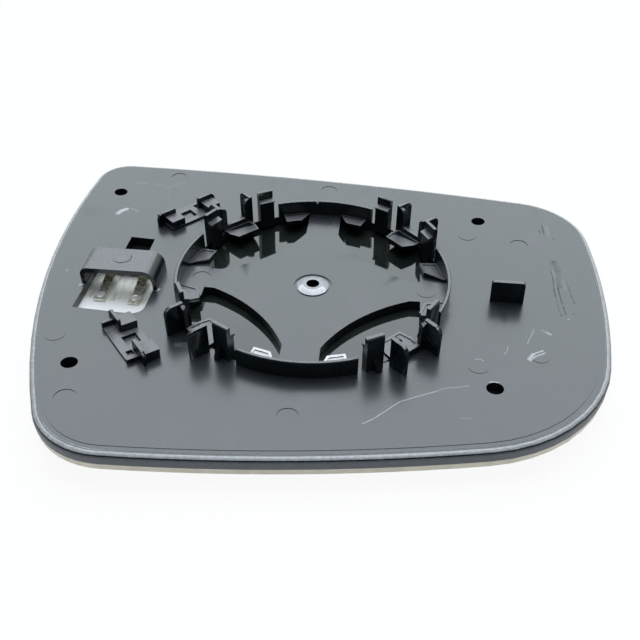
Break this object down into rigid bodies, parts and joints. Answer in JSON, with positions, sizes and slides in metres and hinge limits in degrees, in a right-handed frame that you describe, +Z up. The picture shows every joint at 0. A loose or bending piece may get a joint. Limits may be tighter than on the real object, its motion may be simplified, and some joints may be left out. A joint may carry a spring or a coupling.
{
  "type": "car door mirror glass",
  "caption": "Convex door mirror glass with heater film, on a moulded backing plate with a round clip ring, hooked fingers, a terminal hood and cable clips.",
  "frame": {"origin": "on the axis of the convex glass at its lowest point, which is the bottom centre of the bounding box", "axes": "glass down; +X towards the wide end on the right, +Y towards the back edge, +Z up out of the backing plate"},
  "size_m": [0.1838, 0.1472, 0.0181],
  "materials": {
    "mirror": "ground clear edge, silvered face",
    "film": "shiny grey film",
    "adhesive": "matt",
    "patch": "satin white and silver",
    "terminal": "tinned",
    "rivet": "tinned",
    "plate": "glossy black moulding"
  },
  "bodies": {
    "root": {"mirror_glass": "mirror", "heater_film": "film", "adhesive_sheet": "adhesive", "terminal_patch": "patch", "terminal_left": "terminal", "terminal_right": "terminal", "rivet_left": "rivet", "rivet_right": "rivet", "backing_plate": "plate"}
  },
  "joints": []
}
